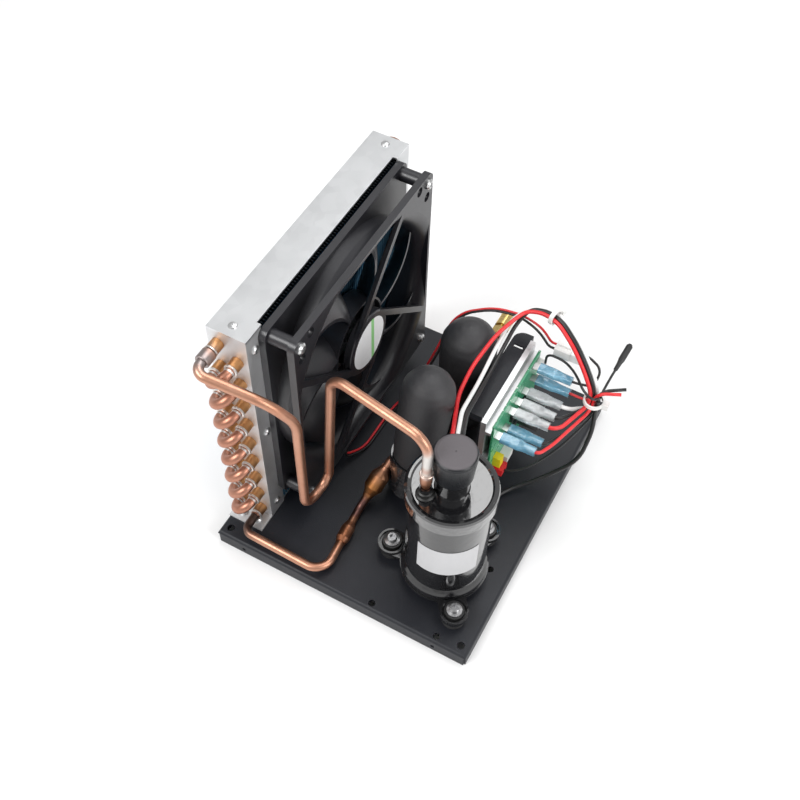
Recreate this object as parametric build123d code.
"""Refrigeration condensing unit on a folded steel base plate.

Frame: origin at the middle of the front rim's lower edge, on the surface it stands on. +X runs across
the short side towards the compressor, +Y along the long side to the back, +Z up. Millimetres.
Places are given with deck(): a point measured from the front left corner of the plate's upper face.
"""
from build123d import *
from math import cos, pi, radians, sin, sqrt, tan
import os

os.makedirs("parts", exist_ok=True)

# ---------------------------------------------------------------- base plate
BASE_X = 200.0
BASE_Y = 245.0
BASE_RIM = 12.5
BASE_SHEET = 1.5
BASE_BEND = 2.5
CORNER_SLIT = 2.6
MOUNT_INSET = 7.0
MOUNT_HOLE_R = 2.75
SPARE_HOLE_R = 2.5
SPARE_HOLES = [(125.0, 4.9), (175.5, 4.9), (185.3, 68.3)]
RIM_HOLE_R = 1.5
RIM_HOLES_X = (22.0, 175.0)
RIM_HOLE_DROP = 7.5

# ---------------------------------------------------------------- condenser
COND_X = 28.0
COND_Y = 200.0
COND_Z = 199.0
COND_FRONT = 29.3
SHEET = 1.2
SIDE_FLANGE = 16.0
FOOT_FLANGE = 14.0
TOP_RECESS = 3.2
TOP_RECESS_START = 17.0
COIL_TUBE_R = 3.5
COIL_ROWS = 9
COIL_PITCH = 21.0
ROW_PITCH = 12.7
STAGGER = 10.5
INLET_Z = 188.0
HOLE_CLEAR = 0.1
FRONT_STRAIGHT = 9.3
REAR_STRAIGHT = 3.2
SOCKET_R = 4.3
SOCKET_LENGTH = 8.6
FIN_PITCH = 2.5
FIN_THICK = 0.8
FIN_GAP = 0.3
RIVET_R = 3.0
RIVET_HEIGHT = 1.2
RIVET_PIN_R = 0.9
RIVET_FROM_END = 8.0

# ---------------------------------------------------------------- screws of the sheet metal
SCREW_HEAD_R = 3.4
SCREW_HEAD = 2.2
SCREW_SHANK_R = 1.7
SCREW_SHANK = 5.0
SCREW_HOLE_R = 1.9

# ---------------------------------------------------------------- fan
FAN_SIZE = 176.0
FAN_DEPTH = 25.0
FAN_FLANGE = 5.0
FAN_BOTTOM = 20.5
FAN_CORNER_R = 6.0
FAN_BORE_R = 83.0
VENTURI_WALL = 2.0
FAN_POST_R = 5.0
FAN_HOLE_PITCH = 162.0
FAN_HOLE_R = 2.2
EXTRA_HOLE_R = 3.6
EXTRA_HOLES = [(69.0, 83.0), (80.0, 70.0)]
FLARE_R = 97.0
FLARE_DEPTH = 12.0
FLARE_SIDE = 171.0
SPOKE_ANGLES = (47.0, 137.0, 227.0, 317.0)
SPOKE_OFFSET = 22.0
SPOKE_WIDTH = 4.6
SPOKE_THICK = 4.0
MOTOR_CUP_R = 24.6
MOTOR_CUP_WALL = 1.6
MOTOR_CUP_DEPTH = 6.0
BLADES = 7
BLADE_ROOT_R = 30.4
BLADE_TIP_GAP = 1.6
BLADE_TIP_R = FAN_BORE_R - BLADE_TIP_GAP
BLADE_THICK = 2.4
BLADE_SWEEP = 22.0
BLADE_ROOT_CHORD = 20.0
BLADE_TIP_CHORD = 44.0
BLADE_ROOT_PITCH = 50.0
BLADE_TIP_PITCH = 24.0
HUB_R = 31.0
HUB_WALL = 1.6
HUB_DEPTH = 16.5
HUB_GAP = 1.0
MAGNET_WALL = 2.6
MAGNET_DEPTH = 10.0
FAN_STATOR_R = 24.5
FAN_STATOR_DEPTH = 8.0
FAN_SHAFT_R = 1.5
FAN_TUBE_R = 4.6
FAN_TUBE_WALL = 1.3
FAN_SHAFT_CLEAR = 0.03
FAN_SCREW_HEAD_R = 3.9
FAN_SCREW_HEAD = 2.6
FAN_SCREW_SHANK_R = 1.9

# ---------------------------------------------------------------- compressor
COMP_AT = (156.0, 53.0)
SHELL_R = 28.0
SHELL_WALL = 2.2
SHELL_BOTTOM = 7.0
SHELL_TOP = 105.0
BASE_SWELL_R = 30.5
LID_RIM_R = 30.3
LID_TOP = 112.5
LID_DISH = 1.6
FOOT_THICK = 2.5
FOOT_UNDER = 9.0
EAR_CIRCLE_R = 39.3
EAR_R = 10.0
EAR_ANGLES = (-53.0, 67.0, 187.0)
EAR_LIP = 1.6
EAR_LIP_WALL = 1.4
EAR_LIP_GAP = 0.5
FOOT_RING = 3.0
GROMMET_R = 7.6
GROMMET_NECK_R = 5.2
GROMMET_CAP = 3.0
BOLT_SHANK_R = 2.4
BOLT_FLANGE_R = 5.4
BOLT_HEAD_R = 3.6
STUB_FROM_AXIS = (-12.0, -13.5)
STUB_R = 4.0
STUB_TOP = 120.0
STUB_GROMMET_R = 6.9
PEDESTAL_R = 11.0
PEDESTAL_TOP = 126.0
COVER_R = 14.2
COVER_LOW_R = 12.7
COVER_WALL = 1.6
COVER_HEIGHT = 24.0
COVER_BOTTOM = 126.0
LEAD_EXIT_ANGLE = 112.0
LEAD_SLOT_WIDTH = 11.0
LEAD_SLOT = 5.0
PIN_R = 1.1
PIN_CIRCLE_R = 5.0
MOTOR_BOTTOM = 56.0
STATOR_HEIGHT = 32.0
STATOR_BORE_R = 14.5
AIR_GAP = 0.5
ROTOR_HEIGHT = 30.0
SHAFT_R = 4.0
SHAFT_CLEAR = 0.03
PUMP_BOTTOM = 24.0
CYLINDER_HEIGHT = 12.0
CYLINDER_BORE_R = 12.0
ECCENTRIC = 1.6
ECCENTRIC_R = 7.0
PISTON_CLEAR = 0.06
BEARING_PLATE = 5.0
BEARING_NECK = 12.0
BEARING_NECK_R = 8.0
PUMP_CLEAR = 0.4
PUMP_R = SHELL_R - SHELL_WALL - PUMP_CLEAR
VANE_THICK = 2.2
VANE_LENGTH = 7.0
VANE_SLOT_CLEAR = 0.05
SPRING_R = 1.3
SPRING_WIRE_R = 0.3

# ---------------------------------------------------------------- pipework
LINE_R = 3.3
LINE_WALL = 0.8
LINE_BEND = 12.0
DISCHARGE_BENDS = (13.0, 13.0, 12.0, 12.0, 34.0, 34.0, 12.0)
BELL_R = 4.0
BELL_LENGTH = 15.0
INLET_COLLAR = 8.0
INLET_COLLAR_R = 4.9
BELL_LIP = 0.45
COUPLING_R = 4.9
LINE_CORNER = (86.5, 4.6, 8.2)
DRIER_R = 7.0
DRIER_LENGTH = 27.0
RECEIVER_R = 11.5
RECEIVER_LOW = 20.0
RECEIVER_HIGH = 116.0
FRONT_STACK = (105.0, 98.0)
FRONT_LEAN_X = 2.8
FRONT_LEAN_Y = 4.4
FRONT_JACKET_R = 18.6
FRONT_JACKET_LOW = 47.0
FRONT_JACKET_TOP = 134.0
TAPE_LOW = 5.0
TAPE_R = 18.9
REAR_STACK = (108.6, 175.0)
ACCUMULATOR_R = 13.0
ACCUMULATOR_LOW = 16.0
ACCUMULATOR_HIGH = 92.0
REAR_JACKET_R = 20.6
REAR_JACKET_LOW = 6.0
REAR_JACKET_TOP = 111.0
SOFT_GAP = 0.3
PORT_Z = 80.0
PORT_X = 119.0
PORT_START = 199.0
PORT_TUBE_R = 3.2
PORT_HEX = 9.6
PORT_HEX_LENGTH = 8.0
PORT_THREAD_R = 3.9
PORT_THREAD_LENGTH = 9.0
PORT_BORE_R = 1.9
CAP_HEX = 10.4
CAP_LENGTH = 11.0
CAP_CLEAR = 0.08
CORE_R = 1.2
CORE_CLEAR = 0.05
CORE_LENGTH = 9.0
LIQUID_PORT_Z = 26.0
LIQUID_PORT_X = 92.0
LIQUID_PORT_START = 214.0

# ---------------------------------------------------------------- controller
BRACKET_SHEET = 1.5
BRACKET_WEB_X = 145.2
BRACKET_TOP = 88.0
BRACKET_TOP_WIDTH = 13.0
BRACKET_FOOT_WIDTH = 13.0
BRACKET_FRONT = 121.0
BRACKET_BACK = 207.0
BRACKET_CORNER_R = 8.0
HEAT_SINK_FRONT = 119.5
HEAT_SINK_BACK = 201.0
HEAT_SINK_WALL = 4.0
HEAT_SINK_LOW = 48.0
HEAT_SINK_HIGH = 90.0
LEDGE_DEPTH = 3.8
LEDGE_THICK = 3.0
BOARD_THICK = 1.6
BOARD_FRONT = 122.0
BOARD_BACK = 199.0
BOARD_LOW = 20.0
BOARD_HIGH = 86.0
TAB_WIDTH = 6.3
TAB_THICK = 0.8
TAB_LENGTH = 11.3
SLEEVE_WIDTH = 8.2
SLEEVE_THICK = 4.8
SLEEVE_FLAT = 13.0
SLEEVE_BARREL_R = 3.3
SLEEVE_LENGTH = 25.5
SLEEVE_WALL = 0.7
SLEEVE_STANDOFF = 4.5
BLUE_TERMINALS = [(186.5, 83.0), (186.5, 69.5), (141.0, 64.5), (126.5, 72.5)]
CLEAR_TERMINALS = [(171.5, 71.5), (160.5, 71.5), (149.0, 74.0)]

# ---------------------------------------------------------------- wiring
LEAD_R = 1.45
THIN_LEAD_R = 0.9
CABLE_R = 1.6
TIE_WIDTH = 3.0
TIE_THICK = 1.2
SUPPLY_R = 1.2
SUPPLY_TURN = 88.0
SUPPLY_TAIL = 18.0
LANE = 3.15
RING_TIE_R = 6.3
ARCH_TIE_R = 5.0
CONNECTOR_AT = (174.0, 203.0, 92.0)
CONNECTOR_SIZE = (20.0, 11.0, 9.0)
CONNECTOR_ROW = 2.2
PROBE_R = 2.4
PROBE_LENGTH = 22.0


def deck(x, y, z):
    """A point measured from the front left corner of the base plate's upper face."""
    return Vector(x - BASE_X / 2, y - BASE_SHEET / 2, z + BASE_RIM)


def block(low, high):
    """A box between two deck points."""
    a = deck(*low)
    size = deck(*high) - a
    return Pos(a.X, a.Y, a.Z) * Box(size.X, size.Y, size.Z, align=(Align.MIN, Align.MIN, Align.MIN))


def rod(start, end, radius):
    """A round bar between two vectors."""
    way = end - start
    return Plane(origin=start, z_dir=way) * Cylinder(
        radius, way.length, align=(Align.CENTER, Align.CENTER, Align.MIN)
    )


def pipe(start, end, radius, bore):
    """A round tube between two vectors."""
    return rod(start, end, radius) - rod(start, end, bore)


def turned(profile, place):
    """A solid turned about the Z axis of a place from (radius, height) points."""
    face = make_face(Plane.XZ * Polyline(*profile, close=True))
    return place * revolve(face, Axis.Z)


def corner_angle(before, at, after):
    return (at - before).get_angle(after - at)


def bend_radii(points, limit):
    """The bend of each inner corner of a run: as the line's bender gives it, or what the runs allow."""
    radii = []
    limits = limit if isinstance(limit, tuple) else (limit,) * (len(points) - 2)
    for before, at, after, limit in zip(points, points[1:], points[2:], limits):
        half = tan(radians(corner_angle(before, at, after)) / 2)
        room = 0.45 * min((at - before).length, (after - at).length) / half
        radii.append(min(limit, room))
    return radii


def bent(points, radius, limit, bore=0.0):
    """A tube or bar along straight runs joined by tangent arcs."""
    path = FilletPolyline(*points, radius=bend_radii(points, limit))
    section = Plane(origin=path @ 0, z_dir=path % 0) * Circle(radius)
    made = sweep(section, path)
    if bore:
        made = made - sweep(Plane(origin=path @ 0, z_dir=path % 0) * Circle(bore), path)
    return made


def save(name, shapes):
    """Writes one node; several loose pieces of one kind share a node."""
    pieces = [solid for shape in shapes for solid in shape.solids()]
    whole = pieces[0] if len(pieces) == 1 else Compound(children=pieces)
    whole.label = name
    export_step(whole, f"parts/{name}.step")
    print(name, len(pieces), round(sum(piece.volume for piece in pieces)))


# ================================================================ base plate
def screw_places():
    """Where sheet-metal screws go down through the plate: condenser feet and controller foot."""
    foot_x = (8.0, COND_X - 8.0)
    front_y = COND_FRONT - FOOT_FLANGE / 2
    rear_y = COND_FRONT + COND_Y + FOOT_FLANGE / 2
    feet = [(x, y, SHEET) for x in foot_x for y in (front_y, rear_y)]
    bracket_x = BRACKET_WEB_X - BRACKET_FOOT_WIDTH / 2 - BRACKET_SHEET
    bracket_y = (BRACKET_FRONT + 12.0, BRACKET_BACK - 12.0)
    return feet + [(bracket_x, y, BRACKET_SHEET) for y in bracket_y]


def ear_centre(angle):
    return (
        COMP_AT[0] + EAR_CIRCLE_R * cos(radians(angle)),
        COMP_AT[1] + EAR_CIRCLE_R * sin(radians(angle)),
    )


def mount_places():
    """The corner bolts. The back left corner has none, because the condenser's foot covers it."""
    near, far_x, far_y = MOUNT_INSET, BASE_X - MOUNT_INSET, BASE_Y - MOUNT_INSET
    return [(near, near), (far_x, near), (far_x, far_y)]


def down_hole(x, y, radius):
    return rod(deck(x, y, -BASE_RIM), deck(x, y, BASE_RIM), radius)


def base_plate():
    low = (Align.CENTER, Align.CENTER, Align.MIN)
    outer = Box(BASE_X, BASE_Y, BASE_RIM, align=low)
    outer = fillet(outer.edges().group_by(Axis.Z)[-1], BASE_BEND)
    inner = Box(BASE_X - 2 * BASE_SHEET, BASE_Y - 2 * BASE_SHEET, BASE_RIM - BASE_SHEET, align=low)
    inner = fillet(inner.edges().group_by(Axis.Z)[-1], BASE_BEND - BASE_SHEET)
    plate = outer - inner
    slit = Box(CORNER_SLIT, CORNER_SLIT, BASE_RIM - BASE_BEND, align=low)
    for side_x in (-1, 1):
        for side_y in (-1, 1):
            plate -= Pos(side_x * BASE_X / 2, side_y * BASE_Y / 2, 0) * slit
    plate = Pos(deck(BASE_X / 2, BASE_Y / 2, -BASE_RIM)) * plate
    for x, y in mount_places():
        plate -= down_hole(x, y, MOUNT_HOLE_R)
    for x, y in SPARE_HOLES:
        plate -= down_hole(x, y, SPARE_HOLE_R)
    for x, y, _ in screw_places():
        plate -= down_hole(x, y, SCREW_HOLE_R)
    for angle in EAR_ANGLES:
        plate -= down_hole(*ear_centre(angle), BOLT_SHANK_R + HOLE_CLEAR)
    for x in RIM_HOLES_X:
        start = deck(x, -1.0, -RIM_HOLE_DROP)
        plate -= rod(start, start + Vector(0, BASE_SHEET + 2.0, 0), RIM_HOLE_R)
    return plate


# ================================================================ condenser
def row_x(side):
    """The two rows of coil tubes: side -1 is the outer row, +1 the row next to the fan."""
    return COND_X / 2 + side * ROW_PITCH / 2


def outer_z(k):
    return INLET_Z - COIL_PITCH * k


def inner_z(k):
    return outer_z(k) - STAGGER


def coil_centres():
    outer = [(row_x(-1), outer_z(k)) for k in range(COIL_ROWS)]
    inner = [(row_x(1), inner_z(k)) for k in range(COIL_ROWS)]
    return outer + inner


def flange_screw_heights():
    return (COND_Z - 14.0, COND_Z / 2, 12.0)


def tube_sheet():
    """The front end sheet: face, two side flanges turned back, a top flange and a foot turned out."""
    y0 = COND_FRONT
    top = COND_Z - SHEET
    sheet = block((0, y0, 0), (COND_X, y0 + SHEET, top))
    sheet += block((0, y0, 0), (SHEET, y0 + SIDE_FLANGE, top))
    sheet += block((COND_X - SHEET, y0, 0), (COND_X, y0 + SIDE_FLANGE, top))
    sheet += block((0, y0, top - SHEET), (COND_X, y0 + SIDE_FLANGE, top))
    sheet += block((0, y0 - FOOT_FLANGE, 0), (COND_X, y0 + SHEET, SHEET))
    corner = sheet.edges().filter_by(Axis.Z).group_by(Axis.Y)[-1]
    sheet = sheet - block((SHEET, y0 + SHEET, 0), (COND_X - SHEET, y0 + SIDE_FLANGE + 1, SHEET + 1))
    for x, z in coil_centres():
        sheet -= rod(deck(x, y0 - 1, z), deck(x, y0 + SHEET + 1, z), COIL_TUBE_R + HOLE_CLEAR)
    for x in (8.0, COND_X - 8.0):
        sheet -= down_hole(x, y0 - FOOT_FLANGE / 2, SCREW_HOLE_R)
    for z in flange_screw_heights():
        start = deck(COND_X + 1, y0 + SIDE_FLANGE / 2, z)
        sheet -= rod(start, start - Vector(SHEET + 2, 0, 0), SCREW_HOLE_R)
    rivet = deck(COND_X / 2, y0 + RIVET_FROM_END, top)
    return sheet - rod(rivet - Vector(0, 0, SHEET + 1), rivet + Vector(0, 0, 1), RIVET_PIN_R + 0.6)


def to_rear(shape):
    """The same piece at the condenser's other end."""
    middle = deck(0, COND_FRONT + COND_Y / 2, 0).Y
    return mirror(shape, about=Plane(origin=(0, middle, 0), z_dir=(0, 1, 0)))


def top_plate():
    y0 = COND_FRONT
    y1 = COND_FRONT + COND_Y
    plate = block((0, y0, COND_Z - SHEET), (COND_X, y1, COND_Z))
    cut_from = y0 + TOP_RECESS_START
    cut_to = y1 - TOP_RECESS_START
    plate -= block((COND_X - TOP_RECESS, cut_from, COND_Z - SHEET - 1), (COND_X + 1, cut_to, COND_Z + 1))
    for y in (y0 + RIVET_FROM_END, y1 - RIVET_FROM_END):
        centre = deck(COND_X / 2, y, COND_Z)
        plate -= rod(centre - Vector(0, 0, SHEET + 1), centre + Vector(0, 0, 1), RIVET_PIN_R + 0.6)
    return plate


def bottom_plate():
    y0 = COND_FRONT + SHEET
    y1 = COND_FRONT + COND_Y - SHEET
    return block((SHEET, y0, 0), (COND_X - SHEET, y1, SHEET))


def rivets():
    made = []
    for y in (COND_FRONT + RIVET_FROM_END, COND_FRONT + COND_Y - RIVET_FROM_END):
        place = Location(deck(COND_X / 2, y, COND_Z))
        shank = RIVET_PIN_R + 0.5
        profile = [
            (0.0, -2 * SHEET),
            (shank, -2 * SHEET),
            (shank, 0),
            (RIVET_R, 0),
            (RIVET_R * 0.8, RIVET_HEIGHT * 0.75),
            (RIVET_PIN_R, RIVET_HEIGHT),
            (RIVET_PIN_R, RIVET_HEIGHT * 0.4),
            (0, RIVET_HEIGHT * 0.4),
        ]
        made.append(turned(profile, place))
    return made


def fin_pack():
    """Fins as a comb on both faces of the tube field; the tubes pass through the solid middle."""
    y0 = COND_FRONT + SHEET + FIN_GAP
    y1 = COND_FRONT + COND_Y - SHEET - FIN_GAP
    count = int((y1 - y0 - FIN_THICK) / FIN_PITCH) + 1
    first = (y0 + y1) / 2 - (count - 1) * FIN_PITCH / 2
    wide = COND_X / 2 - SHEET - FIN_GAP
    core = ROW_PITCH / 2 + COIL_TUBE_R + 0.5
    right = []
    for k in range(count):
        near = first + k * FIN_PITCH - FIN_THICK / 2
        far = near + FIN_THICK
        right += [(core, near), (wide, near), (wide, far), (core, far)]
    outline = right + [(-x, y) for x, y in reversed(right)]
    low = deck(COND_X / 2, 0, SHEET)
    face = make_face(Polyline(*[(low.X + x, low.Y + y) for x, y in outline], close=True))
    height = COND_Z - 3 * SHEET
    pack = extrude(Pos(0, 0, low.Z) * face, height)
    for x, z in coil_centres():
        pack -= rod(deck(x, y0 - 5, z), deck(x, y1 + 5, z), COIL_TUBE_R + HOLE_CLEAR)
    return pack


def half_ring(a, b, out):
    """A return bend's half turn between two tube ends, bulging along out."""
    middle = (a + b) / 2
    radius = (b - a).length / 2
    tip = middle + out * radius
    arc = ThreePointArc(a, tip, b)
    return sweep(Plane(origin=a, z_dir=out) * Circle(COIL_TUBE_R), arc)


def hairpins():
    y_front = COND_FRONT - FRONT_STRAIGHT
    y_rear = COND_FRONT + COND_Y + REAR_STRAIGHT
    made = []
    for k in range(COIL_ROWS):
        a = deck(row_x(-1), y_rear, outer_z(k))
        b = deck(row_x(1), y_rear, inner_z(k))
        hairpin = half_ring(a, b, Vector(0, 1, 0))
        hairpin += rod(deck(row_x(-1), y_front, outer_z(k)), a, COIL_TUBE_R)
        hairpin += rod(deck(row_x(1), y_front, inner_z(k)), b, COIL_TUBE_R)
        made.append(hairpin)
    return made


def return_bends():
    """Front bends, each with a belled socket over the tube end of the inner row."""
    y_end = COND_FRONT - FRONT_STRAIGHT
    made = []
    for k in range(COIL_ROWS - 1):
        a = deck(row_x(1), y_end, inner_z(k))
        b = deck(row_x(-1), y_end, outer_z(k + 1))
        made.append(half_ring(a, b, Vector(0, -1, 0)))
    return made


def braze_sockets():
    """Belled sockets round each tube end at the front, from the sheet to the bend."""
    made = []
    bore = COIL_TUBE_R + HOLE_CLEAR
    for x, z in coil_centres():
        place = Plane(origin=deck(x, COND_FRONT, z), z_dir=(0, -1, 0))
        profile = [
            (bore, 0.1),
            (SOCKET_R, 0.1),
            (SOCKET_R, SOCKET_LENGTH - 2.0),
            (SOCKET_R + 0.35, SOCKET_LENGTH - 1.2),
            (SOCKET_R + 0.35, SOCKET_LENGTH - 0.3),
            (bore, SOCKET_LENGTH),
        ]
        face = make_face(Plane.XZ * Polyline(*profile, close=True))
        made.append(place * revolve(face, Axis.Z))
    return made


def pan_screw(place, head_r, head, shank_r, shank):
    """A pan-head screw: its head stands on the place's origin, its shank goes down."""
    profile = [
        (0, -shank),
        (shank_r, -shank),
        (shank_r, 0),
        (head_r, 0),
        (head_r, head * 0.45),
        (head_r * 0.7, head * 0.9),
        (0, head),
    ]
    made = turned(profile, place)
    slot = Box(head_r * 1.1, 0.8, head, align=(Align.CENTER, Align.CENTER, Align.MIN))
    made -= place * Pos(0, 0, head * 0.5) * slot
    return made - place * Pos(0, 0, head * 0.5) * Rot(0, 0, 90) * slot


def sheet_metal_screws():
    made = []
    for x, y, z in screw_places():
        made.append(
            pan_screw(Location(deck(x, y, z)), SCREW_HEAD_R, SCREW_HEAD, SCREW_SHANK_R, SCREW_SHANK)
        )
    return made


def flange_screws():
    """Screws that hold the fan to the condenser's side flanges, heads outwards in front of it."""
    made = []
    for z in flange_screw_heights():
        for y in (COND_FRONT + SIDE_FLANGE / 2, COND_FRONT + COND_Y - SIDE_FLANGE / 2):
            place = Plane(origin=deck(COND_X, y, z), z_dir=(1, 0, 0)).location
            made.append(pan_screw(place, SCREW_HEAD_R - 0.4, 1.8, SCREW_SHANK_R, SHEET))
    return made


# ================================================================ fan
FAN_AT = deck(COND_X, COND_FRONT + COND_Y / 2, FAN_BOTTOM + FAN_SIZE / 2)
FAN_PLANE = Plane(origin=FAN_AT, x_dir=(0, 1, 0), z_dir=(1, 0, 0))


def fan_place(shape):
    """From the fan's own frame (X along the unit, Y up, Z out of the condenser) into the unit."""
    return FAN_PLANE * shape


def rounded_square(size, corner):
    return RectangleRounded(size, size, corner)


def corner_places(half):
    return [(half * sx, half * sy) for sx in (-1, 1) for sy in (-1, 1)]


def spoke(angle):
    """One arm of the motor mount: it leaves the cup along its edge and ends in the flared rim."""
    reach = sqrt((FLARE_R + 1.0) ** 2 - SPOKE_OFFSET**2)
    bar = Box(reach, SPOKE_WIDTH, SPOKE_THICK, align=(Align.MIN, Align.CENTER, Align.MAX))
    bar = chamfer(bar.edges().filter_by(Axis.X).group_by(Axis.Z)[0], 1.2)
    return Rot(0, 0, angle) * Pos(0, SPOKE_OFFSET, FAN_DEPTH) * bar


def flared_rim(wall, side):
    """The bore's trumpet mouth, widened by a wall and trimmed to a square that leaves the corners round."""
    low = FAN_DEPTH - FLARE_DEPTH
    small = FAN_BORE_R + wall
    large = FLARE_R + wall
    belly = (small + 0.29 * (large - small), low + 0.71 * FLARE_DEPTH)
    lines = [
        Polyline((large, FAN_DEPTH), (0, FAN_DEPTH), (0, low), (small, low)),
        ThreePointArc((small, low), belly, (large, FAN_DEPTH)),
    ]
    mouth = revolve(Plane.XZ * make_face(lines), Axis.Z)
    return mouth & extrude(rounded_square(side, FAN_CORNER_R), FAN_DEPTH)


def fan_frame():
    half_pitch = FAN_HOLE_PITCH / 2
    square = rounded_square(FAN_SIZE, FAN_CORNER_R)
    flange = extrude(square, FAN_FLANGE)
    frame = flange + Pos(0, 0, FAN_DEPTH - FAN_FLANGE) * flange
    frame += extrude(Circle(FAN_BORE_R + VENTURI_WALL), FAN_DEPTH)
    for x, y in corner_places(half_pitch):
        frame += Pos(x, y, 0) * extrude(Circle(FAN_POST_R), FAN_DEPTH)
    frame += flared_rim(VENTURI_WALL, FAN_SIZE)
    frame -= extrude(Circle(FAN_BORE_R), FAN_DEPTH)
    frame -= flared_rim(0, FLARE_SIDE)
    for x, y in corner_places(half_pitch):
        frame -= Pos(x, y, 0) * extrude(Circle(FAN_HOLE_R), FAN_DEPTH)
    for x, y in EXTRA_HOLES:
        for sx in (-1, 1):
            frame -= Pos(sx * x, y, FAN_DEPTH - FAN_FLANGE) * extrude(Circle(EXTRA_HOLE_R), FAN_FLANGE)
    cup = extrude(Circle(MOTOR_CUP_R), -MOTOR_CUP_DEPTH)
    cup = fillet(cup.edges().group_by(Axis.Z)[-1], 1.5)
    frame += Pos(0, 0, FAN_DEPTH) * cup
    for angle in SPOKE_ANGLES:
        frame += spoke(angle)
    recess = extrude(Circle(MOTOR_CUP_R - MOTOR_CUP_WALL), MOTOR_CUP_DEPTH - 2.0)
    frame -= Pos(0, 0, FAN_DEPTH - MOTOR_CUP_DEPTH) * recess
    floor = FAN_DEPTH - 2.0
    tube_length = floor - HUB_WALL - HUB_GAP - 3.0
    frame += Pos(0, 0, floor) * extrude(Circle(FAN_TUBE_R), -tube_length)
    frame -= Pos(0, 0, floor) * extrude(Circle(FAN_TUBE_R - FAN_TUBE_WALL), -tube_length)
    return frame


def hub_front():
    """Depth at which the impeller's closed face lies, behind the condenser-side flange."""
    return HUB_GAP


def blade_section(chord, thick, camber):
    """A cambered aerofoil between two arcs, blunt at both ends."""
    half = chord / 2
    edge = thick / 4
    upper = ThreePointArc((-half, edge), (0, camber + thick / 2), (half, edge))
    lower = ThreePointArc((half, -edge), (0, camber - thick / 2), (-half, -edge))
    ends = [Line((half, edge), (half, -edge)), Line((-half, -edge), (-half, edge))]
    return make_face([upper, ends[0], lower, ends[1]])


def blade():
    """A blade that sweeps back, flattens and thins from the hub to its tip."""
    sections = []
    steps = 4
    for k in range(steps):
        share = k / (steps - 1)
        radius = BLADE_ROOT_R - 2.0 + (BLADE_TIP_R + 3.0 - BLADE_ROOT_R) * share
        turn = BLADE_SWEEP * share * share
        place = Plane(
            origin=Vector(radius, 0, blade_middle()).rotate(Axis.Z, turn),
            x_dir=Vector(0, 1, 0).rotate(Axis.Z, turn),
            z_dir=Vector(1, 0, 0).rotate(Axis.Z, turn),
        )
        chord = BLADE_ROOT_CHORD + (BLADE_TIP_CHORD - BLADE_ROOT_CHORD) * share
        pitch = BLADE_ROOT_PITCH + (BLADE_TIP_PITCH - BLADE_ROOT_PITCH) * share
        section = blade_section(chord, BLADE_THICK * (1 - 0.3 * share), chord * 0.07)
        sections.append(place * Rot(0, 0, pitch) * section)
    return loft(sections)


def blade_middle():
    return HUB_GAP + HUB_DEPTH / 2 + 0.6


def fan_impeller():
    front = hub_front()
    hub = Pos(0, 0, front) * extrude(Circle(HUB_R), HUB_DEPTH)
    hub = fillet(hub.edges().group_by(Axis.Z)[0], 2.5)
    one = blade()
    wheel = hub
    for k in range(BLADES):
        wheel += Rot(0, 0, k * 360 / BLADES) * one
    keep = Pos(0, 0, 0.8) * extrude(Circle(BLADE_TIP_R), HUB_GAP + HUB_DEPTH + 0.6)
    wheel = wheel & keep
    wheel -= Pos(0, 0, front + HUB_WALL) * extrude(Circle(HUB_R - HUB_WALL), HUB_DEPTH)
    boss = Pos(0, 0, front + HUB_WALL) * extrude(Circle(FAN_SHAFT_R + 1.6), 1.6)
    wheel += boss
    return wheel - Pos(0, 0, front + 0.8) * extrude(Circle(FAN_SHAFT_R), HUB_DEPTH)


def fan_magnet_ring():
    outer = HUB_R - HUB_WALL - 0.02
    low = hub_front() + HUB_WALL + 0.5
    ring = extrude(Circle(outer) - Circle(outer - MAGNET_WALL), MAGNET_DEPTH)
    return Pos(0, 0, low) * ring


def fan_shaft():
    low = hub_front() + 0.8
    return Pos(0, 0, low) * extrude(Circle(FAN_SHAFT_R), FAN_DEPTH - 2.6 - low)


def fan_bearings():
    inner = FAN_SHAFT_R + FAN_SHAFT_CLEAR
    outer = FAN_TUBE_R - FAN_TUBE_WALL
    ring = extrude(Circle(outer) - Circle(inner), 3.0)
    floor = FAN_DEPTH - 2.0
    low = hub_front() + HUB_WALL + 3.2
    return [Pos(0, 0, floor - 4.0) * ring, Pos(0, 0, low) * ring]


def fan_stator():
    """A four-pole laminated core pressed on the bearing tube."""
    low = hub_front() + HUB_WALL + 1.6
    core = Circle(10.0)
    for k in range(4):
        arm = Pos(FAN_STATOR_R / 2, 0) * Rectangle(FAN_STATOR_R - 3.0, 6)
        shoe = (Circle(FAN_STATOR_R) - Circle(FAN_STATOR_R - 3.5)) & Pos(FAN_STATOR_R, 0) * Rectangle(20, 28)
        core += Rot(0, 0, 90 * k) * (arm + shoe)
    core -= Circle(FAN_TUBE_R + 0.02)
    return Pos(0, 0, low) * extrude(core, FAN_STATOR_DEPTH)


def fan_circuit_board():
    low = FAN_DEPTH - 2.0 - 3.4
    return Pos(0, 0, low) * extrude(Circle(22.0) - Circle(FAN_TUBE_R + 0.05), 1.2)


def fan_screws():
    made = []
    for x, y in corner_places(FAN_HOLE_PITCH / 2):
        local = Location((x, y, FAN_DEPTH))
        screw = pan_screw(local, FAN_SCREW_HEAD_R, FAN_SCREW_HEAD, FAN_SCREW_SHANK_R, FAN_DEPTH - 1.0)
        made.append(fan_place(screw))
    return made


# ================================================================ compressor
COMP_AXIS = Location(deck(COMP_AT[0], COMP_AT[1], 0))


def ring_profile(inner, outer, low, high):
    return [(inner, low), (outer, low), (outer, high), (inner, high)]


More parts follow.
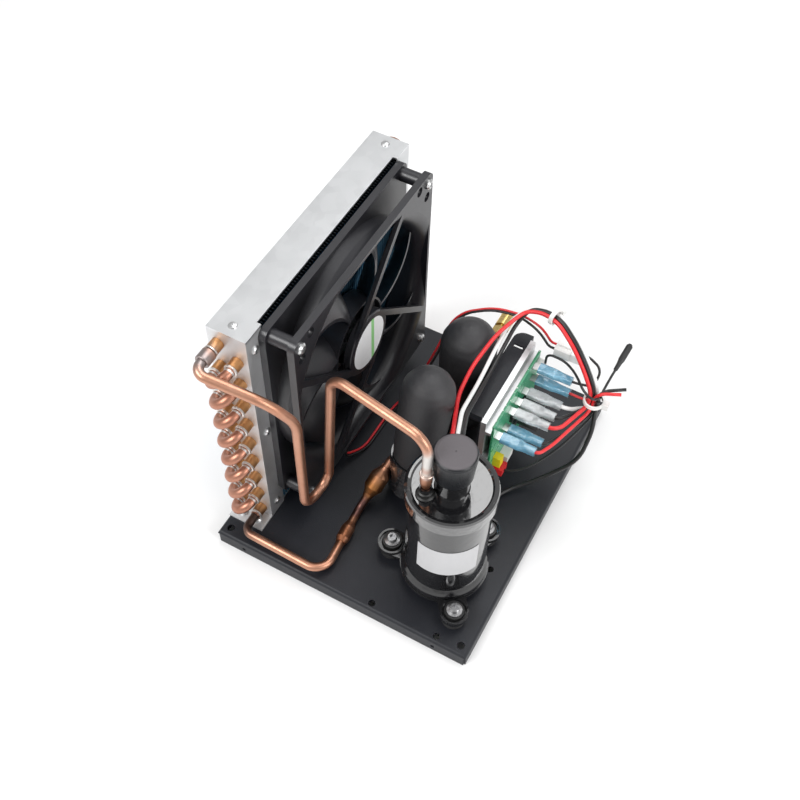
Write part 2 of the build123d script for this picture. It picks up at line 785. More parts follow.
def compressor_shell():
    """A deep-drawn can with a swelled foot ring and a dished bottom."""
    inner = SHELL_R - SHELL_WALL
    profile = [
        (0, SHELL_BOTTOM),
        (SHELL_R - 9, SHELL_BOTTOM),
        (SHELL_R - 3, SHELL_BOTTOM + 1.2),
        (SHELL_R, FOOT_UNDER + FOOT_THICK),
        (BASE_SWELL_R, FOOT_UNDER + FOOT_THICK),
        (BASE_SWELL_R, FOOT_UNDER + FOOT_THICK + 5.0),
        (BASE_SWELL_R - 1.0, FOOT_UNDER + FOOT_THICK + 7.0),
        (SHELL_R, FOOT_UNDER + FOOT_THICK + 9.5),
        (SHELL_R, SHELL_TOP),
        (inner, SHELL_TOP),
        (inner, SHELL_BOTTOM + 7),
        (inner - 6, SHELL_BOTTOM + SHELL_WALL + 0.4),
        (0, SHELL_BOTTOM + SHELL_WALL),
    ]
    shell = turned(profile, COMP_AXIS)
    return shell - rod(suction_entry(), suction_entry() + suction_way() * 6, LINE_R + HOLE_CLEAR)


def compressor_lid():
    """A cap pressed over the can: rolled rim, shallow dished top, ports for stub and terminals."""
    inner = SHELL_R + 0.05
    profile = [
        (inner, SHELL_TOP - 4),
        (LID_RIM_R, SHELL_TOP - 4),
        (LID_RIM_R, LID_TOP - 2.2),
        (LID_RIM_R - 0.7, LID_TOP - 0.6),
        (LID_RIM_R - 2.2, LID_TOP),
        (LID_RIM_R - 3.6, LID_TOP - 0.5),
        (LID_RIM_R - 4.8, LID_TOP - LID_DISH),
        (0, LID_TOP - LID_DISH),
        (0, LID_TOP - LID_DISH - 2.4),
        (LID_RIM_R - 6.5, LID_TOP - LID_DISH - 2.4),
        (SHELL_R - 1.2, SHELL_TOP + 0.05),
        (inner, SHELL_TOP + 0.05),
    ]
    lid = turned(profile, COMP_AXIS)
    lid -= COMP_AXIS * Pos(*STUB_FROM_AXIS, SHELL_TOP) * Cylinder(STUB_R + 0.05, 40)
    return lid - COMP_AXIS * Pos(0, 0, SHELL_TOP) * Cylinder(PEDESTAL_R - 2.5 + 0.05, 40)


def compressor_foot_plate():
    """Three ears with raised lips on a ring that is pressed round the can's foot."""
    ears = [Pos(*Vector(EAR_CIRCLE_R, 0, 0).rotate(Axis.Z, angle)) for angle in EAR_ANGLES]
    outline = Circle(SHELL_R + FOOT_RING)
    lips = Sketch()
    for angle, ear in zip(EAR_ANGLES, ears):
        neck = Rot(0, 0, angle) * Pos(EAR_CIRCLE_R / 2, 0) * Rectangle(EAR_CIRCLE_R, 2 * EAR_R)
        outline += ear * Circle(EAR_R) + neck
        lips += ear * Circle(EAR_R)
    outline -= Circle(SHELL_R)
    for ear in ears:
        lips -= ear * Circle(EAR_R - EAR_LIP_WALL)
        outline -= ear * Circle(GROMMET_NECK_R + 0.1)
    lips -= Circle(BASE_SWELL_R + EAR_LIP_GAP)
    plate = extrude(outline, FOOT_THICK)
    plate += Pos(0, 0, FOOT_THICK) * extrude(lips, EAR_LIP)
    return COMP_AXIS * Pos(0, 0, FOOT_UNDER) * plate


def mounting_grommets():
    """Rubber grommets: a foot below the ear, a neck through it and a cap on top."""
    made = []
    bore = BOLT_SHANK_R + 0.3
    top = FOOT_UNDER + FOOT_THICK
    for angle in EAR_ANGLES:
        x, y = ear_centre(angle)
        profile = [
            (bore, 0),
            (GROMMET_R, 0),
            (GROMMET_R + 0.8, 2.0),
            (GROMMET_R - 0.6, FOOT_UNDER / 2),
            (GROMMET_R + 0.4, FOOT_UNDER),
            (GROMMET_NECK_R, FOOT_UNDER),
            (GROMMET_NECK_R, top),
            (GROMMET_R - 0.2, top),
            (GROMMET_R - 0.8, top + GROMMET_CAP),
            (bore, top + GROMMET_CAP),
        ]
        made.append(turned(profile, Location(deck(x, y, 0))))
    return made


def mounting_bolts():
    """Flanged bolts through the grommets into the plate."""
    made = []
    seat = FOOT_UNDER + FOOT_THICK + GROMMET_CAP
    for angle in EAR_ANGLES:
        x, y = ear_centre(angle)
        place = Location(deck(x, y, seat))
        shank = seat + BASE_SHEET + 3.0
        profile = [
            (0, -shank),
            (BOLT_SHANK_R, -shank),
            (BOLT_SHANK_R, 0),
            (BOLT_FLANGE_R, 0),
            (BOLT_FLANGE_R, 0.9),
            (BOLT_HEAD_R, 1.5),
            (BOLT_HEAD_R, 4.2),
            (BOLT_HEAD_R - 0.5, 4.7),
            (0, 4.7),
        ]
        bolt = turned(profile, place)
        socket = extrude(RegularPolygon(2.0, 6), 2.2)
        made.append(bolt - place * Pos(0, 0, 2.6) * socket)
    return made


def stub_axis():
    return deck(COMP_AT[0] + STUB_FROM_AXIS[0], COMP_AT[1] + STUB_FROM_AXIS[1], 0)


def discharge_stub():
    base = stub_axis()
    low = base + Vector(0, 0, SHELL_TOP)
    return pipe(low, base + Vector(0, 0, STUB_TOP), STUB_R, STUB_R - 1.0)


def stub_grommet():
    """The ribbed rubber boot round the stub on the lid."""
    base = LID_TOP - LID_DISH
    profile = [
        (STUB_R + 0.05, base),
        (STUB_GROMMET_R - 1.2, base),
        (STUB_GROMMET_R - 0.6, base + 1.0),
        (STUB_GROMMET_R - 1.6, base + 1.8),
        (STUB_GROMMET_R - 2.0, base + 3.2),
        (STUB_R + 1.0, base + 4.4),
        (STUB_R + 0.05, base + 5.0),
    ]
    return turned(profile, Location(stub_axis()))


def terminal_block():
    """The glass-sealed terminal post: a flanged body in the lid with three pins on top."""
    seat = LID_TOP - LID_DISH
    profile = [
        (0, SHELL_TOP - 1),
        (PEDESTAL_R - 2.5, SHELL_TOP - 1),
        (PEDESTAL_R - 2.5, seat),
        (PEDESTAL_R + 0.6, seat),
        (PEDESTAL_R, seat + 1.2),
        (PEDESTAL_R - 0.6, PEDESTAL_TOP - 1.0),
        (PEDESTAL_R - 1.4, PEDESTAL_TOP),
        (0, PEDESTAL_TOP),
    ]
    body = turned(profile, COMP_AXIS)
    for k in range(3):
        spot = Vector(PIN_CIRCLE_R, 0, 0).rotate(Axis.Z, 120 * k + 30)
        body += COMP_AXIS * Pos(spot.X, spot.Y, PEDESTAL_TOP) * extrude(Circle(PIN_R), 9.0)
    return body


def cover_profile_outer():
    top = COVER_BOTTOM + COVER_HEIGHT
    return [
        (0, COVER_BOTTOM),
        (COVER_LOW_R, COVER_BOTTOM),
        (COVER_R, top - 3.0),
        (COVER_R - 0.5, top - 1.4),
        (COVER_R - 1.6, top - 0.4),
        (COVER_R - 3.0, top),
        (0, top),
    ]


def terminal_cover():
    """A moulded cap over the terminals, open below, with a moulding dimple and a lead slot."""
    cap = turned(cover_profile_outer(), COMP_AXIS)
    cavity = COVER_LOW_R - COVER_WALL
    cap -= COMP_AXIS * Pos(0, 0, COVER_BOTTOM) * extrude(Circle(cavity), COVER_HEIGHT - COVER_WALL)
    lip = ring_profile(PEDESTAL_R - 3.0, COVER_LOW_R - 0.5, COVER_BOTTOM, COVER_BOTTOM + 1.2)
    cap += turned(lip, COMP_AXIS)
    cap -= COMP_AXIS * Pos(0, 0, COVER_BOTTOM + COVER_HEIGHT - 0.4) * extrude(Circle(0.5), 1)
    slot = Box(COVER_R + 1, LEAD_SLOT_WIDTH, LEAD_SLOT, align=(Align.MIN, Align.CENTER, Align.MIN))
    return cap - COMP_AXIS * Pos(0, 0, COVER_BOTTOM) * Rot(0, 0, LEAD_EXIT_ANGLE) * slot


def motor_stator():
    """Laminated core with nine slots, shrunk into the can."""
    outer = SHELL_R - SHELL_WALL
    core = Circle(outer) - Circle(STATOR_BORE_R)
    for k in range(9):
        slot = Rectangle(5.0, 4.6) + Pos(-3.2, 0) * Rectangle(3.4, 1.6)
        core -= Rot(0, 0, 40 * k) * Pos(STATOR_BORE_R + 4.5, 0) * slot
    return COMP_AXIS * Pos(0, 0, MOTOR_BOTTOM) * extrude(core, STATOR_HEIGHT)


def motor_rotor():
    outer = STATOR_BORE_R - AIR_GAP
    low = MOTOR_BOTTOM + (STATOR_HEIGHT - ROTOR_HEIGHT) / 2
    return turned(ring_profile(SHAFT_R, outer, low, low + ROTOR_HEIGHT), COMP_AXIS)


def crankshaft():
    low = PUMP_BOTTOM - BEARING_PLATE - 1.0
    high = MOTOR_BOTTOM + STATOR_HEIGHT + 2.0
    shaft = COMP_AXIS * Pos(0, 0, low) * extrude(Circle(SHAFT_R), high - low)
    throw = COMP_AXIS * Pos(ECCENTRIC, 0, PUMP_BOTTOM + 0.4) * extrude(
        Circle(ECCENTRIC_R), CYLINDER_HEIGHT - 0.8
    )
    return shaft + throw


def rolling_piston():
    outer = CYLINDER_BORE_R - ECCENTRIC - PISTON_CLEAR
    ring = Circle(outer) - Circle(ECCENTRIC_R + 0.02)
    return COMP_AXIS * Pos(ECCENTRIC, 0, PUMP_BOTTOM + 0.05) * extrude(ring, CYLINDER_HEIGHT - 0.1)


VANE_ANGLE = 90.0


def cylinder_block():
    """The pump's cylinder, with the vane slot and the spring's pocket behind it."""
    block_face = Circle(PUMP_R) - Circle(CYLINDER_BORE_R)
    slot_length = VANE_LENGTH + 2.0
    slot = Rectangle(slot_length, VANE_THICK + 2 * VANE_SLOT_CLEAR, align=(Align.MIN, Align.CENTER))
    block_face -= Rot(0, 0, VANE_ANGLE) * Pos(CYLINDER_BORE_R - 0.5, 0) * slot
    body = COMP_AXIS * Pos(0, 0, PUMP_BOTTOM) * extrude(block_face, CYLINDER_HEIGHT)
    middle = PUMP_BOTTOM + CYLINDER_HEIGHT / 2
    pocket_start = CYLINDER_BORE_R + VANE_LENGTH
    way = Vector(1, 0, 0).rotate(Axis.Z, VANE_ANGLE)
    centre = deck(COMP_AT[0], COMP_AT[1], middle)
    pocket = rod(centre + way * pocket_start, centre + way * (PUMP_R + 1), SPRING_R + 0.35)
    return body - pocket


def vane():
    """The blade that parts suction from discharge, held out of the bore at rest."""
    blade_face = Rectangle(VANE_LENGTH, VANE_THICK, align=(Align.MIN, Align.CENTER))
    spot = Rot(0, 0, VANE_ANGLE) * Pos(CYLINDER_BORE_R + 0.1, 0)
    height = CYLINDER_HEIGHT - 0.1
    return COMP_AXIS * Pos(0, 0, PUMP_BOTTOM + 0.05) * extrude(spot * blade_face, height)


def vane_spring():
    """A short coil spring behind the vane."""
    start = CYLINDER_BORE_R + VANE_LENGTH + 0.15
    length = PUMP_R - start - 0.3
    way = Vector(1, 0, 0).rotate(Axis.Z, VANE_ANGLE)
    centre = deck(COMP_AT[0], COMP_AT[1], PUMP_BOTTOM + CYLINDER_HEIGHT / 2)
    place = Plane(origin=centre + way * (start + SPRING_WIRE_R), z_dir=way)
    helix = Helix(pitch=1.3, height=length - 2 * SPRING_WIRE_R, radius=SPRING_R - SPRING_WIRE_R)
    section = Plane(origin=helix @ 0, z_dir=helix % 0) * Circle(SPRING_WIRE_R)
    return place * sweep(section, helix, is_frenet=True)


def pump_bearings():
    """Main bearing above the cylinder and sub bearing below it."""
    bore = SHAFT_R + SHAFT_CLEAR
    top = PUMP_BOTTOM + CYLINDER_HEIGHT
    main = [
        (bore, top),
        (SHELL_R - SHELL_WALL, top),
        (SHELL_R - SHELL_WALL, top + BEARING_PLATE),
        (BEARING_NECK_R, top + BEARING_PLATE),
        (BEARING_NECK_R, top + BEARING_PLATE + BEARING_NECK),
        (bore, top + BEARING_PLATE + BEARING_NECK),
    ]
    sub = [
        (bore, PUMP_BOTTOM - BEARING_PLATE),
        (BEARING_NECK_R + 4, PUMP_BOTTOM - BEARING_PLATE),
        (PUMP_R - 6, PUMP_BOTTOM - BEARING_PLATE + 2.0),
        (PUMP_R - 6, PUMP_BOTTOM),
        (bore, PUMP_BOTTOM),
    ]
    return [turned(main, COMP_AXIS), turned(sub, COMP_AXIS)]


# ================================================================ pipework
BELL_LOW = STUB_TOP + 0.1


def discharge_points():
    stub = stub_axis()
    inlet_x = row_x(-1)
    top = BELL_LOW + BELL_LENGTH - 5.0
    return [
        Vector(stub.X, stub.Y, stub.Z + top),
        Vector(stub.X, stub.Y, stub.Z + 168.0),
        deck(69.5, 54.0, 167.0),
        deck(63.5, 53.5, 47.0),
        deck(60.5, 27.0, 44.0),
        deck(62.0, 24.5, 148.0),
        deck(52.0, 14.0, 173.0),
        deck(inlet_x, 3.5, outer_z(0)),
        deck(inlet_x, COND_FRONT - FRONT_STRAIGHT - 0.1, outer_z(0)),
    ]


def bell(start, way, out_r, length, bore):
    """A flared socket with a rolled lip, its lip at the far end of way."""
    profile = [
        (bore, 0),
        (out_r - 1.3, 0),
        (out_r - 0.5, length * 0.18),
        (out_r, length * 0.42),
        (out_r, length - 2 * BELL_LIP),
        (out_r + BELL_LIP, length - BELL_LIP),
        (out_r, length),
        (bore, length),
    ]
    face = make_face(Plane.XZ * Polyline(*profile, close=True))
    return Plane(origin=start, z_dir=way) * revolve(face, Axis.Z)


def discharge_line():
    """From the compressor up and over to the coil's inlet, with a brazed bell at the stub."""
    tube = bent(discharge_points(), LINE_R, DISCHARGE_BENDS, LINE_R - LINE_WALL)
    start = stub_axis() + Vector(0, 0, BELL_LOW)
    tube += bell(start, Vector(0, 0, 1), BELL_R, BELL_LENGTH, LINE_R - LINE_WALL)
    end = discharge_points()[-1]
    collar = pipe(end - Vector(0, INLET_COLLAR, 0), end, INLET_COLLAR_R, LINE_R - LINE_WALL)
    rims = collar.edges().filter_by(GeomType.CIRCLE).sort_by(Axis.Y)
    return tube + fillet(rims[:2].sort_by(SortBy.LENGTH)[-1], 0.9)


def liquid_points():
    return [
        deck(row_x(1), COND_FRONT - FRONT_STRAIGHT - 0.1, inner_z(COIL_ROWS - 1)),
        deck(row_x(1), 5.5, inner_z(COIL_ROWS - 1)),
        deck(*LINE_CORNER),
        drier_start() - drier_way() * 12.0,
        drier_start(),
    ]


def drier_start():
    return deck(83.5, 71.5, 12.5)


def drier_way():
    return Vector(2.5, 8.6, 8.4).normalized()


def liquid_line():
    """From the coil's outlet along the front of the plate to the drier, with one swaged coupling."""
    tube = bent(liquid_points(), LINE_R - 0.2, LINE_BEND, LINE_R - LINE_WALL - 0.2)
    corner = deck(*LINE_CORNER)
    way = (drier_start() - drier_way() * 12.0 - corner).normalized()
    start = corner + way * 28.0
    profile = [
        (LINE_R - 0.6, 0),
        (LINE_R + 0.3, 0),
        (COUPLING_R, 3.5),
        (COUPLING_R, 13.0),
        (LINE_R + 0.3, 17.5),
        (LINE_R - 0.6, 17.5),
    ]
    face = make_face(Plane.XZ * Polyline(*profile, close=True))
    return tube + Plane(origin=start, z_dir=way) * revolve(face, Axis.Z)


def filter_drier():
    """A spun copper drier: cylinder between two necked ends, carried by the line."""
    profile = [
        (0, 0.1),
        (LINE_R + 0.4, 0.1),
        (LINE_R + 0.9, 3.0),
        (DRIER_R, 8.5),
        (DRIER_R, DRIER_LENGTH - 8.0),
        (LINE_R + 0.9, DRIER_LENGTH - 2.5),
        (LINE_R + 0.4, DRIER_LENGTH),
        (0, DRIER_LENGTH),
    ]
    face = make_face(Plane.XZ * Polyline(*profile, close=True))
    return Plane(origin=drier_start(), z_dir=drier_way()) * revolve(face, Axis.Z)


FRONT_PLACE = Location(deck(FRONT_STACK[0], FRONT_STACK[1], 0)) * Rot(-FRONT_LEAN_Y, FRONT_LEAN_X, 0)
REAR_PLACE = Location(deck(REAR_STACK[0], REAR_STACK[1], 0))


def vessel(radius, low, high, place, neck):
    """A spun vessel with domed ends and a neck at the bottom."""
    profile = [
        (0, low - neck),
        (LINE_R + 0.8, low - neck),
        (LINE_R + 0.8, low),
        (radius * 0.72, low + 2.2),
        (radius, low + 7.0),
        (radius, high - 7.0),
        (radius * 0.72, high - 2.0),
        (0, high),
    ]
    return turned(profile, place)


def receiver():
    return vessel(RECEIVER_R, RECEIVER_LOW, RECEIVER_HIGH, FRONT_PLACE, 6.0)


def accumulator():
    return vessel(ACCUMULATOR_R, ACCUMULATOR_LOW, ACCUMULATOR_HIGH, REAR_PLACE, 6.0)


def drier_outlet_points():
    end = drier_start() + drier_way() * (DRIER_LENGTH + 0.1)
    inside = (FRONT_PLACE * Pos(0, 0, 42.0)).position
    towards = (inside - end).normalized()
    return [end, end + drier_way() * 8.0, inside - towards * (RECEIVER_R + 0.1)]


def receiver_feed():
    """The short elbow from the drier into the side of the receiver."""
    return bent(drier_outlet_points(), LINE_R - 0.2, LINE_BEND) - receiver()


def liquid_outlet_points():
    start = (FRONT_PLACE * Pos(0, 0, RECEIVER_LOW - 6.0)).position
    return [
        start + Vector(0, 0, -0.1),
        start + Vector(0, 0.4, -5.2),
        deck(103.0, 138.0, 4.6),
        deck(LIQUID_PORT_X - 4.0, 160.0, 6.0),
        deck(LIQUID_PORT_X - 6.0, 196.0, 10.0),
        deck(LIQUID_PORT_X, 204.0, LIQUID_PORT_Z),
        deck(LIQUID_PORT_X, LIQUID_PORT_START - 0.1, LIQUID_PORT_Z),
    ]


def foam_sleeve(radius, low, top, place, core_r, core_top):
    """Closed-cell foam pulled over a vessel: closed dome on top, open below."""
    dome = radius
    steps = 5
    outer = [(radius * 0.9, low), (radius * 0.93, low + 6.0), (radius, top - dome - 12.0)]
    for k in range(steps + 1):
        turn = radians(90 * k / steps)
        outer.append((dome * cos(turn) if k < steps else 0, top - dome + dome * sin(turn)))
    face = make_face(Plane.XZ * Polyline((0, low), *outer, close=True))
    sleeve = place * revolve(face, Axis.Z)
    core = place * Pos(0, 0, low - 1) * Cylinder(
        core_r + SOFT_GAP, core_top - low + 1 + SOFT_GAP, align=(Align.CENTER, Align.CENTER, Align.MIN)
    )
    return sleeve - core


def front_foam_jacket():
    jacket = foam_sleeve(
        FRONT_JACKET_R, FRONT_JACKET_LOW, FRONT_JACKET_TOP, FRONT_PLACE, RECEIVER_R, RECEIVER_HIGH
    )
    return jacket - bent(drier_outlet_points(), LINE_R + 0.2, LINE_BEND)


def neck_tape():
    """Vinyl tape wound in overlapping turns round the jacket's lower end."""
    profile = [(RECEIVER_R + SOFT_GAP, TAPE_LOW + 7.0), (TAPE_R - 3.0, TAPE_LOW + 7.0)]
    turns = 4
    step = (FRONT_JACKET_LOW - SOFT_GAP - TAPE_LOW - 7.0) / turns
    for k in range(turns):
        low = TAPE_LOW + 7.0 + k * step
        profile += [(TAPE_R - 1.2 + 0.3 * k, low + 0.4), (TAPE_R - 1.5 + 0.3 * k, low + step)]
    profile.append((RECEIVER_R + SOFT_GAP, FRONT_JACKET_LOW - SOFT_GAP))
    tape = turned(profile, FRONT_PLACE)
    tape -= bent(drier_outlet_points(), LINE_R + 0.2, LINE_BEND)
    drier_room = Plane(origin=drier_start(), z_dir=drier_way()) * Cylinder(
        DRIER_R + SOFT_GAP, DRIER_LENGTH + 1, align=(Align.CENTER, Align.CENTER, Align.MIN)
    )
    return tape - drier_room


def suction_entry():
    """Where the suction line meets the can."""
    way = suction_way()
    centre = deck(COMP_AT[0], COMP_AT[1], 30.0)
    return centre + way * (SHELL_R - 3.0)


def suction_way():
    return Vector(cos(radians(108.0)), sin(radians(108.0)), 0)


def suction_points():
    start = (REAR_PLACE * Pos(0, 0, ACCUMULATOR_LOW - 6.0)).position
    return [
        start + Vector(0, 0, -0.1),
        start + Vector(1.0, -6.0, -5.0),
        deck(114.0, 132.0, 5.0),
        deck(128.0, 106.0, 10.0),
        deck(136.0, 98.0, 26.0),
        suction_entry() + suction_way() * 14.0,
        suction_entry() + suction_way() * 0.5,
    ]


def rear_foam_jacket():
    jacket = foam_sleeve(
        REAR_JACKET_R, REAR_JACKET_LOW + 5.0, REAR_JACKET_TOP, REAR_PLACE, ACCUMULATOR_R, ACCUMULATOR_HIGH
    )
    low = deck(PORT_X, REAR_STACK[1], PORT_Z)
    return jacket - rod(low, low + Vector(0, 40, 0), PORT_TUBE_R + SOFT_GAP)


def port(x, y, z):
    """A brass flare port: hexagon, threaded nose, bore for the valve core."""
    start = deck(x, y, z)
    way = Vector(0, 1, 0)
    hexagon = Plane(origin=start, z_dir=way) * extrude(RegularPolygon(PORT_HEX / 2 / cos(pi / 6), 6), PORT_HEX_LENGTH)
    nose_start = start + way * PORT_HEX_LENGTH
    body = hexagon + rod(nose_start, nose_start + way * PORT_THREAD_LENGTH, PORT_THREAD_R)
    neck = rod(nose_start, nose_start + way * 1.8, PORT_THREAD_R + 1)
    body -= neck - rod(nose_start, nose_start + way * 1.8, PORT_THREAD_R - 0.5)
    bore_from = start + way * 4.0
    return body - rod(bore_from, nose_start + way * (PORT_THREAD_LENGTH + 1), PORT_BORE_R)


def port_stem():
    """The tube from the accumulator to the service port."""
    start = deck(PORT_X, REAR_STACK[1], PORT_Z)
    stem = rod(start, deck(PORT_X, PORT_START - 0.1, PORT_Z), PORT_TUBE_R) - accumulator()
    return stem.solids().sort_by(Axis.Y)[-1]


def port_cap(x, y, z):
    """A hexagon cap nut over the threaded nose."""
    gap = PORT_HEX_LENGTH + 2.2
    start = deck(x, y + gap, z)
    way = Vector(0, 1, 0)
    cap = Plane(origin=start, z_dir=way) * extrude(RegularPolygon(CAP_HEX / 2 / cos(pi / 6), 6), CAP_LENGTH)
    cap = cap & rod(start, start + way * CAP_LENGTH, CAP_HEX / 2 + 0.35)
    cavity = PORT_THREAD_LENGTH - 2.2 + 1.2
    return cap - rod(start, start + way * cavity, PORT_THREAD_R + CAP_CLEAR)


def valve_core():
    """The sprung pin in the service port, pushed in to open it."""
    end = PORT_START + PORT_HEX_LENGTH + PORT_THREAD_LENGTH - 0.4
    head = rod(deck(PORT_X, end - 1.2, PORT_Z), deck(PORT_X, end, PORT_Z), PORT_BORE_R - CORE_CLEAR)
    return head + rod(deck(PORT_X, end - CORE_LENGTH, PORT_Z), deck(PORT_X, end, PORT_Z), CORE_R)


# ================================================================ controller
def controller_bracket():
    """A folded stand: foot flange, web and top flange with a rounded end and a lightening slot."""
    x1 = BRACKET_WEB_X
    x0 = x1 - BRACKET_SHEET
    web = block((x0, BRACKET_FRONT, 0), (x1, BRACKET_BACK, BRACKET_TOP))
    foot_x = x0 - BRACKET_FOOT_WIDTH
    stand = web + block((foot_x, BRACKET_FRONT, 0), (x1, BRACKET_BACK, BRACKET_SHEET))
    top_x = x1 - BRACKET_TOP_WIDTH
    flange = block((top_x, BRACKET_FRONT, BRACKET_TOP - BRACKET_SHEET), (x1, BRACKET_BACK, BRACKET_TOP))
    outer = flange.edges().filter_by(Axis.Z).sort_by(Axis.X)[:2]
    flange = fillet(outer.sort_by(Axis.Y)[-1], BRACKET_CORNER_R)
    stand += flange
    lip_z = BRACKET_TOP + 5.0
    stand += block((top_x, BRACKET_FRONT, BRACKET_TOP - BRACKET_SHEET), (x1, BRACKET_FRONT + BRACKET_SHEET, lip_z))
    slot_y = BRACKET_BACK - 15.0
    stand -= block((top_x + 3.5, slot_y, BRACKET_TOP - 3), (x1 - 2.5, slot_y + 2.4, BRACKET_TOP + 1))
    for y in (BRACKET_FRONT + 26.0, BRACKET_BACK - 38.0):
        stand -= block((x0 - 1, y, 14.0), (x1 + 1, y + 24.0, 40.0))
    for x, y, z in screw_places()[-2:]:
        stand -= down_hole(x, y, SCREW_HOLE_R)
    return stand


def board_x():
    return BRACKET_WEB_X + HEAT_SINK_WALL + LEDGE_DEPTH


def heat_sink():
    """An extruded back wall with two ledges that carry the board."""
    x0 = BRACKET_WEB_X
    x1 = x0 + HEAT_SINK_WALL
    profile = [
        (x0, HEAT_SINK_LOW),
        (x1 + LEDGE_DEPTH, HEAT_SINK_LOW),
        (x1 + LEDGE_DEPTH, HEAT_SINK_LOW + LEDGE_THICK),
        (x1, HEAT_SINK_LOW + LEDGE_THICK),
        (x1, HEAT_SINK_HIGH - 9.0 - LEDGE_THICK),
        (x1 + LEDGE_DEPTH, HEAT_SINK_HIGH - 9.0 - LEDGE_THICK),
        (x1 + LEDGE_DEPTH, HEAT_SINK_HIGH - 9.0),
        (x1, HEAT_SINK_HIGH - 9.0),
        (x1, HEAT_SINK_HIGH),
        (x0, HEAT_SINK_HIGH),
    ]
    points = [deck(x, HEAT_SINK_FRONT, z) for x, z in profile]
    face = make_face(Polyline(*points, close=True))
    return extrude(face, HEAT_SINK_BACK - HEAT_SINK_FRONT, dir=(0, 1, 0))


def circuit_board():
    """The inverter board with its tabs' feet, capacitors, power packages and small connectors."""
    x0 = board_x()
    x1 = x0 + BOARD_THICK
    parts = [block((x0, BOARD_FRONT, BOARD_LOW), (x1, BOARD_BACK, BOARD_HIGH))]
    for y in (134.0, 146.0, 158.0, 170.0, 182.0):
        parts.append(block((x0 - 3.6, y, 64.0), (x0 - 0.1, y + 8.0, 76.0)))
    for y, z in ((176.0, 34.0), (176.0, 52.0)):
        centre = deck(x1 + 0.1, y, z)
        parts.append(rod(centre, centre + Vector(16.0, 0, 0), 6.0))
    for y, z in ((152.0, 56.0), (158.0, 40.0), (140.0, 44.0)):
        parts.append(block((x1 + 0.1, y, z), (x1 + 2.2, y + 7.0, z + 7.0)))
    parts.append(block((x1 + 0.1, 128.0, 15.0 + BOARD_THICK + 6.0), (x1 + 8.6, 137.0, 29.5)))
    parts.append(block((x1 + 0.1, 128.0, 32.0), (x1 + 6.1, 134.0, 42.0)))
    parts.append(block((x1 + 0.1, 140.0, 23.0), (x1 + 7.1, 150.0, 30.0)))
    parts.append(block((x1 + 0.1, 192.3, BOARD_HIGH - 13.0), (x1 + 5.0, 197.5, BOARD_HIGH - 6.0)))
    return parts


def tab(y, z):
    """A push-on blade standing out of the board, its tip chamfered."""
    x1 = board_x() + BOARD_THICK
    low = (x1 + 0.1, y - TAB_WIDTH / 2, z - TAB_THICK / 2)
    blade_box = block(low, (x1 + TAB_LENGTH, y + TAB_WIDTH / 2, z + TAB_THICK / 2))
    tips = blade_box.edges().filter_by(Axis.Z).group_by(Axis.X)[-1]
    return chamfer(tips, 1.2)


def sleeve_start():
    return board_x() + BOARD_THICK + SLEEVE_STANDOFF


def sleeve_end():
    return sleeve_start() + SLEEVE_LENGTH


def terminal_sleeve(y, z):
    """An insulated push-on receptacle: flat housing, waist and a round crimp barrel."""
    start = deck(sleeve_start(), y, z)
    way = Vector(1, 0, 0)

    def section(along, width, thick, corner):
        plane = Plane(origin=start + way * along, x_dir=(0, 1, 0), z_dir=way)
        return plane * RectangleRounded(width, thick, corner)

    flat = loft([section(0, SLEEVE_WIDTH, SLEEVE_THICK, 1.6), section(SLEEVE_FLAT, SLEEVE_WIDTH, SLEEVE_THICK, 1.6)])
    waist_end = SLEEVE_FLAT + 4.0
    barrel = 2 * SLEEVE_BARREL_R
    waist = loft(
        [
            section(SLEEVE_FLAT, SLEEVE_WIDTH, SLEEVE_THICK, 1.6),
            section(waist_end, barrel, barrel * 0.92, 2.4),
        ]
    )
    crimp = loft(
        [
            section(waist_end, barrel, barrel * 0.92, 2.4),
            section(SLEEVE_LENGTH, barrel, barrel * 0.86, 2.4),
        ]
    )
    body = flat + waist + crimp
    slot = block(
        (sleeve_start() - 1, y - TAB_WIDTH / 2 - 0.2, z - TAB_THICK / 2 - 0.3),
        (board_x() + BOARD_THICK + TAB_LENGTH + 0.5, y + TAB_WIDTH / 2 + 0.2, z + TAB_THICK / 2 + 0.3),
    )
    wire_room = rod(deck(sleeve_end() - 6.0, y, z), deck(sleeve_end() + 1, y, z), LEAD_R + 0.5)
    return body - slot - wire_room


# ================================================================ wiring
# The bundle's middle line, from the back of the bracket over the board and down to the ring tie.
ARCH = [
    (139.0, 206.0, 115.5),
    (151.0, 207.0, 119.0),
    (164.0, 203.5, 119.0),
    (180.0, 195.5, 111.0),
    (193.0, 188.5, 99.0),
    (202.0, 184.0, 86.0),
]
ARCH_SIDE = Vector(0.44, 0.898, 0)
RING_AT = (203.3, 183.3, 77.0)
TIE_AT = (158.0, 205.1, 119.0)


def lane(across, out):
    """The bundle's middle line moved sideways and outwards, for one lead of the bundle."""
    line = [deck(*point) for point in ARCH]
    moved = []
    for k, point in enumerate(line):
        before = line[max(k - 1, 0)]
        after = line[min(k + 1, len(line) - 1)]
        way = (after - before).normalized() if k < len(line) - 1 else Vector(0, 0, -1)
        outwards = way.cross(ARCH_SIDE).normalized()
        moved.append(point + ARCH_SIDE * across + outwards * out)
    return moved


def below_ring(across, out, level):
    """Where a lead that has come down through the ring tie turns off, at its own level."""
    last = lane(across, out)[-1]
    return Vector(last.X, last.Y, level + BASE_RIM)


def at_terminal(y, z):
    """The last two points of a lead: clear of the crimp barrel, then inside it."""
    return [deck(sleeve_end() + 2.5, y, z), deck(sleeve_end() - 5.0, y, z)]


